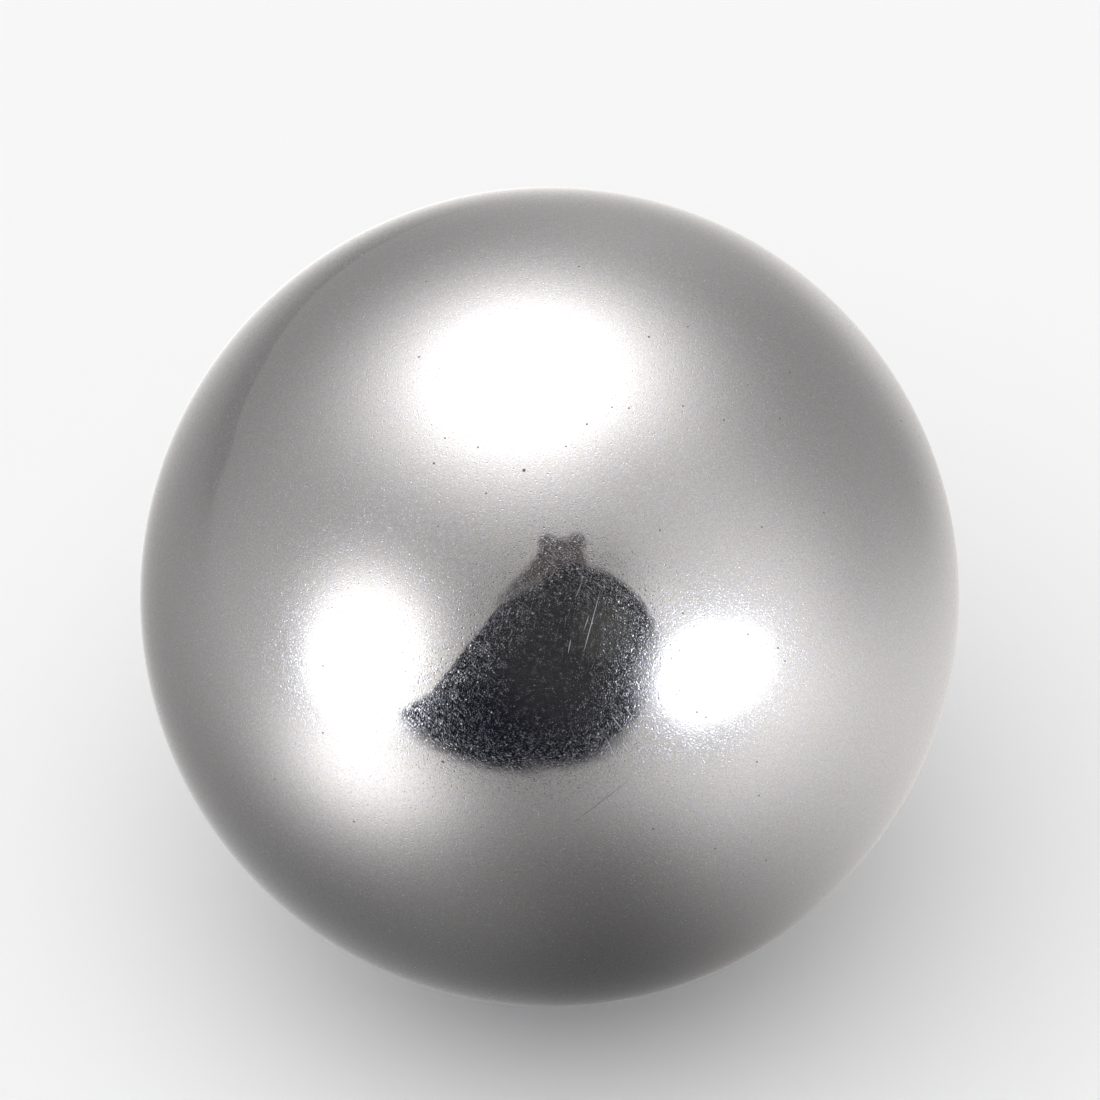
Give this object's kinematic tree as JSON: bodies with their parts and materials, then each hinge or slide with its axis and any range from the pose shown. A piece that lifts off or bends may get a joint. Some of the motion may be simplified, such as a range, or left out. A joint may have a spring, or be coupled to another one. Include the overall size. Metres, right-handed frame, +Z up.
{
  "type": "steel ball",
  "caption": "Solid polished steel ball, a plain true sphere that rolls, loads, checks or weighs.",
  "frame": {"origin": "the ball's centre", "axes": "a sphere has no axis of its own: +Z is up as the ball lies in the picture, and -Z points at the spot that it rests on"},
  "size_m": [0.04, 0.04, 0.04],
  "materials": {
    "lapped_steel": "polished"
  },
  "bodies": {
    "root": {"ball": "lapped_steel"}
  },
  "joints": []
}
